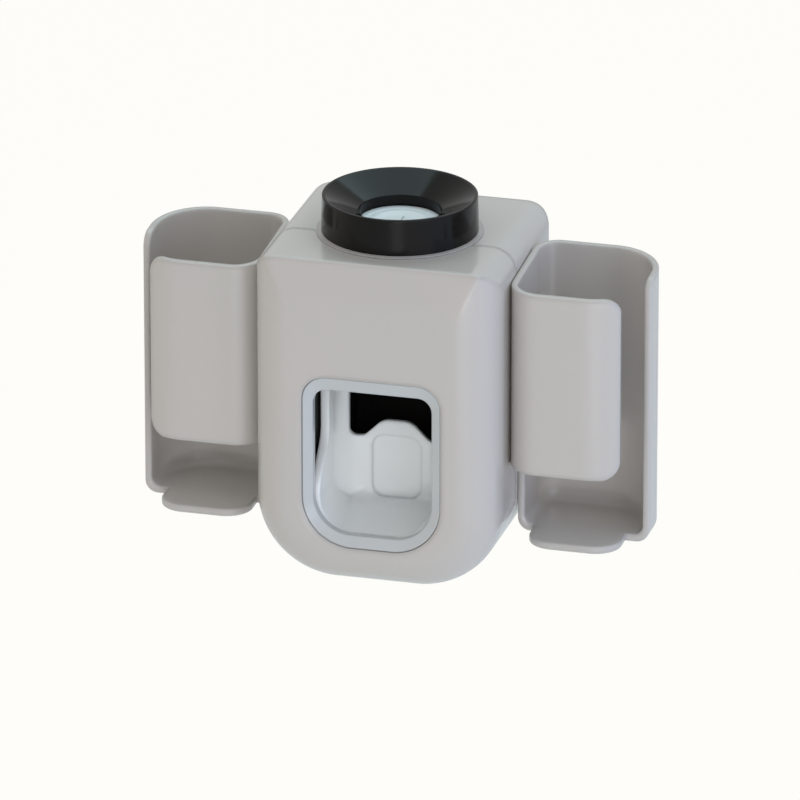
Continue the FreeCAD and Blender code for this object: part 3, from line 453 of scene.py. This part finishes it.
def tube_seal():
    """Dished slit seal: a flat outer band, a fine groove, a soft bead and four lips."""
    slit, reach, steps = 0.3 * mm, 4.0 * mm, 14
    rim_height, lip_drop, foot_radius, foot_slope = 0.9 * mm, 0.08 * mm, 7.0 * mm, 0.7 * mm
    outline = [(0.25, 0.42), (0.7, 0.5), (1.4, 0.52), (2.2, 0.5), (3.1, 0.45), (4.0, 0.4), (4.9, 0.38), (5.6, 0.4),
               (6.0, 0.52), (6.4, 0.72), (6.8, 0.86), (7.2, 0.9), (7.7, 0.88), (8.1, 0.8), (8.4, 0.68), (8.7, 0.64),
               (9.0, 0.7), (9.3, 0.84), (9.7, 0.9), (10.6, 0.9), (11.1, 0.86), (11.3, 0.7)]
    radii = [radius * mm for radius, height in outline]
    heights = {radius * mm: height * mm for radius, height in outline}
    low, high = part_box("tube_seal")
    skin = high.z - low.z - rim_height
    columns = 4 * (steps + 1)

    def angles(radius):
        edge = math.asin(slit / 2 / min(radius, reach))
        sweep = math.pi / 2 - 2 * edge
        return [math.pi / 2 * q + edge + sweep * k / steps for q in range(4) for k in range(steps + 1)]

    def top(radius, k):
        lip = min(k % (steps + 1), steps - k % (steps + 1)) == 0 and radius < reach
        return skin + heights[radius] - (lip_drop if lip else 0)

    def bottom(radius, k):
        return 0 if radius < foot_radius else min(skin, (radius - foot_radius) * skin / foot_slope)

    def present(i, k):
        return k % (steps + 1) != steps or radii[i] >= reach

    slit_disc("tube_seal", radii, angles, top, bottom, present, False)


def inlet_valve():
    """Flap valve: a rim with a round edge and a domed flap that hangs on its wall side."""
    outline = [(0.4, 1.0), (1.8, 0.98), (3.0, 0.93), (3.55, 0.85), (3.8, 0.7), (4.2, 0.75), (4.4, 0.92), (4.8, 1.0),
               (5.9, 1.0), (6.25, 0.93), (6.4, 0.75)]
    radii = [radius * mm for radius, height in outline]
    heights = {radius * mm: height * mm for radius, height in outline}
    around, gap_radius = 72, 3.8 * mm
    turns = [2 * math.pi * k / around for k in range(around)]
    gap = radii.index(gap_radius)

    def present(i, k):
        return i != gap or k < around / 2

    slit_disc("inlet_valve", radii, lambda radius: turns, lambda radius, k: heights[radius],
              lambda radius, k: 0, present, True)


def outlet_valve():
    """Duckbill: a round collar that tapers to two flat lips."""
    low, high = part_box("outlet_valve")
    middle = (low + high) / 2
    collar, collar_height, bore, bevel = (high.x - low.x) / 2, 1.6 * mm, 1.8 * mm, 0.2 * mm
    bill, lip, opening = 2.3 * mm, 0.5 * mm, 0.08 * mm
    steps, around = 8, 48
    shoulder, waist = high.z - collar_height, collar - bevel
    rows = [(waist, waist, high.z), (collar, collar, high.z - bevel)]
    rows += [(collar, collar, shoulder + bevel), (waist, waist, shoulder)]
    inner = []
    for i in range(steps + 1):
        share = i / steps
        z = shoulder + (low.z - shoulder) * share
        rows.append((bill, bill + (lip - bill) * share, z))
        inner.append((bore, bore + (opening - bore) * share, z))
    rows += reversed(inner)
    rows.append((bore, bore, high.z))
    turns = [2 * math.pi * k / around for k in range(around)]
    points = [(middle.x + a * math.cos(t), middle.y + b * math.sin(t), z) for a, b, z in rows for t in turns]
    soft_piece("outlet_valve", points, grid_faces(len(rows), around, True), soft_white)


bellows()
return_spring()
tube_seal()
inlet_valve()
outlet_valve()


def stage_surface(name, color, white_share):
    """Matt pale surface that the camera sees as the photograph's white ground."""
    finish = Finish(name, color, 0.9)
    tree = finish.tree
    seen = finish.add("ShaderNodeLightPath").output("Is Camera Ray")
    glow = finish.add("ShaderNodeEmission", {}, {"Color": ground_white, "Strength": 1.0})
    mix = finish.add("ShaderNodeMixShader", {}, {0: seen * white_share})
    tree.links.new(finish.shader.outputs[0], mix.socket.node.inputs[1])
    tree.links.new(glow.socket, mix.socket.node.inputs[2])
    tree.links.new(mix.socket, tree.nodes["Material Output"].inputs["Surface"])
    return finish.material


def floor():
    """Plain pale floor below the dispenser."""
    drop, half = 0.16, 9.0
    low = cad_box[0].z - drop
    mesh = bpy.data.meshes.new("studio_floor")
    corners = [(-half, -half, low), (half, -half, low), (half, half, low), (-half, half, low)]
    mesh.from_pydata(corners, [], [(0, 1, 2, 3)])
    mesh.materials.append(stage_surface("floor white", (0.8, 0.8, 0.79), 0.97))
    piece = bpy.data.objects.new("studio_floor", mesh)
    bpy.context.scene.collection.objects.link(piece)


def world():
    """Even soft light all round, white where the camera sees it."""
    sky = bpy.data.worlds.new("studio")
    bpy.context.scene.world = sky
    sky.use_nodes = True
    tree = sky.node_tree
    tree.nodes.clear()
    path = tree.nodes.new("ShaderNodeLightPath")
    plain = tree.nodes.new("ShaderNodeBackground")
    plain.inputs["Color"].default_value = (0.99, 1.0, 0.99, 1)
    plain.inputs["Strength"].default_value = 0.6
    white = tree.nodes.new("ShaderNodeBackground")
    white.inputs["Color"].default_value = (*ground_white, 1)
    mix = tree.nodes.new("ShaderNodeMixShader")
    out = tree.nodes.new("ShaderNodeOutputWorld")
    tree.links.new(path.outputs["Is Camera Ray"], mix.inputs[0])
    tree.links.new(plain.outputs[0], mix.inputs[1])
    tree.links.new(white.outputs[0], mix.inputs[2])
    tree.links.new(mix.outputs[0], out.inputs["Surface"])


def lamp(name, way, distance, size, power, color):
    """Area lamp that looks at the dispenser's middle from the direction way; power is in watts."""
    data = bpy.data.lights.new(name, "AREA")
    data.shape = "RECTANGLE"
    data.size, data.size_y = size
    data.energy = power
    data.color = color
    piece = bpy.data.objects.new(name, data)
    way = Vector(way).normalized()
    piece.location = target + way * distance
    piece.rotation_euler = way.to_track_quat("Z", "Y").to_euler()
    bpy.context.scene.collection.objects.link(piece)


def camera():
    """Long lens from the right and above, as in the photograph."""
    turn, lift = math.radians(15.25), math.radians(21.4)
    back = Vector((math.sin(turn) * math.cos(lift), -math.cos(turn) * math.cos(lift), math.sin(lift)))
    distance = 3.0
    width = photo_width / photo_scale * mm
    data = bpy.data.cameras.new("camera")
    data.sensor_width = 36
    data.lens = data.sensor_width * distance / width
    data.clip_start, data.clip_end = 0.1, 40
    piece = bpy.data.objects.new("camera", data)
    piece.location = target + back * distance
    piece.rotation_euler = back.to_track_quat("Z", "Y").to_euler()
    bpy.context.scene.collection.objects.link(piece)
    bpy.context.scene.camera = piece


camera()
world()
floor()
# The front strip lights the ridge at the front cover's upper right corner.
lamp("right_softbox", (0.8, -0.8, 0.2), 1.2, (0.8, 0.8), 3.3, (0.8, 0.86, 1.0))
lamp("front_strip", (0.2, -0.96, -0.13), 1.2, (0.3, 0.1), 2.2, (1.0, 0.99, 0.98))
lamp("high_softbox", (0.0, -0.6, 0.8), 1.1, (0.8, 0.6), 0.5, (0.95, 1.0, 1.0))
lamp("top_softbox", (0.0, 0.5, 1.0), 1.0, (0.8, 0.8), 3.5, (0.68, 0.95, 1.0))
lamp("left_fill", (-1.0, -0.15, 0.15), 1.1, (0.7, 0.9), 1.0, (1.0, 0.75, 0.45))
lamp("right_fill", (1.0, -0.15, 0.15), 1.1, (0.7, 0.9), 2.4, (0.15, 0.38, 1.0))

bpy.context.scene.view_settings.view_transform = "Standard"
